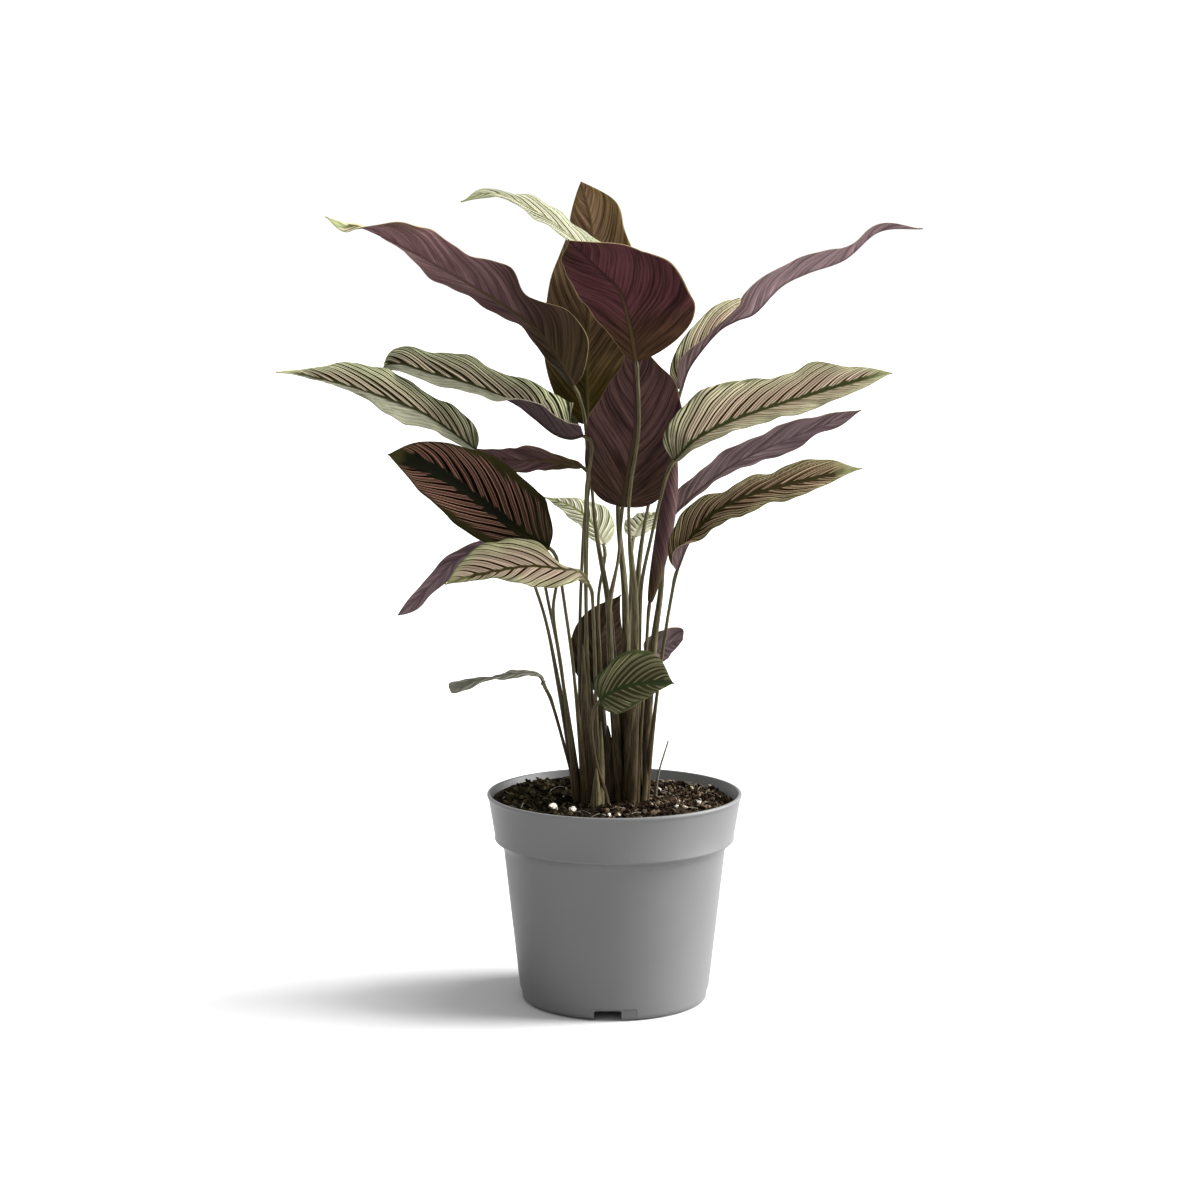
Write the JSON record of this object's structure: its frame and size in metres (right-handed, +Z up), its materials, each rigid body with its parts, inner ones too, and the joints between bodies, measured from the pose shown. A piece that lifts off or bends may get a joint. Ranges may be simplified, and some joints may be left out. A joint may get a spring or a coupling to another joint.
{
  "type": "potted white star calathea",
  "caption": "White star calathea, a prayer plant with cream-striped, purple-backed leaves, in a round grey nursery pot.",
  "frame": {"origin": "centre of the pot's base, on the surface that the pot stands on", "axes": "+Z up, -Y towards the front of the plant, +X to the right seen from the front"},
  "size_m": [0.4653, 0.2966, 0.6082],
  "materials": {
    "leaf": "satin, striped cream on dark green above and purple below",
    "stem": "satin, olive green turning brown at the sheaths",
    "pot_plastic": "fine moulded grain",
    "soil": "loose bark and peat"
  },
  "bodies": {
    "root": {"stalks_left": "stem", "stalks_right": "stem", "stalks_back": "stem", "stalks_front": "stem", "leaf_upper_left": "leaf", "leaf_top_front": "leaf", "leaf_top_pale": "leaf", "leaf_tall_back": "leaf", "leaf_centre": "leaf", "leaf_top_right": "leaf", "leaf_right_upper": "leaf", "leaf_right_middle": "leaf", "leaf_right_lower": "leaf", "leaf_far_left": "leaf", "leaf_left_folded": "leaf", "leaf_left_narrow": "leaf", "leaf_left_dark": "leaf", "leaf_low_left_narrow": "leaf", "leaf_left_hidden": "leaf", "leaf_low_left_pale": "leaf", "leaf_back_pale": "leaf", "leaf_back_right": "leaf", "leaf_low_back": "leaf", "leaf_low_right": "leaf", "leaf_low_front": "leaf", "leaf_low_left_thin": "leaf", "leaf_rolled": "leaf", "dry_stalk": "stem", "pot": "pot_plastic", "soil": "soil"}
  },
  "joints": []
}
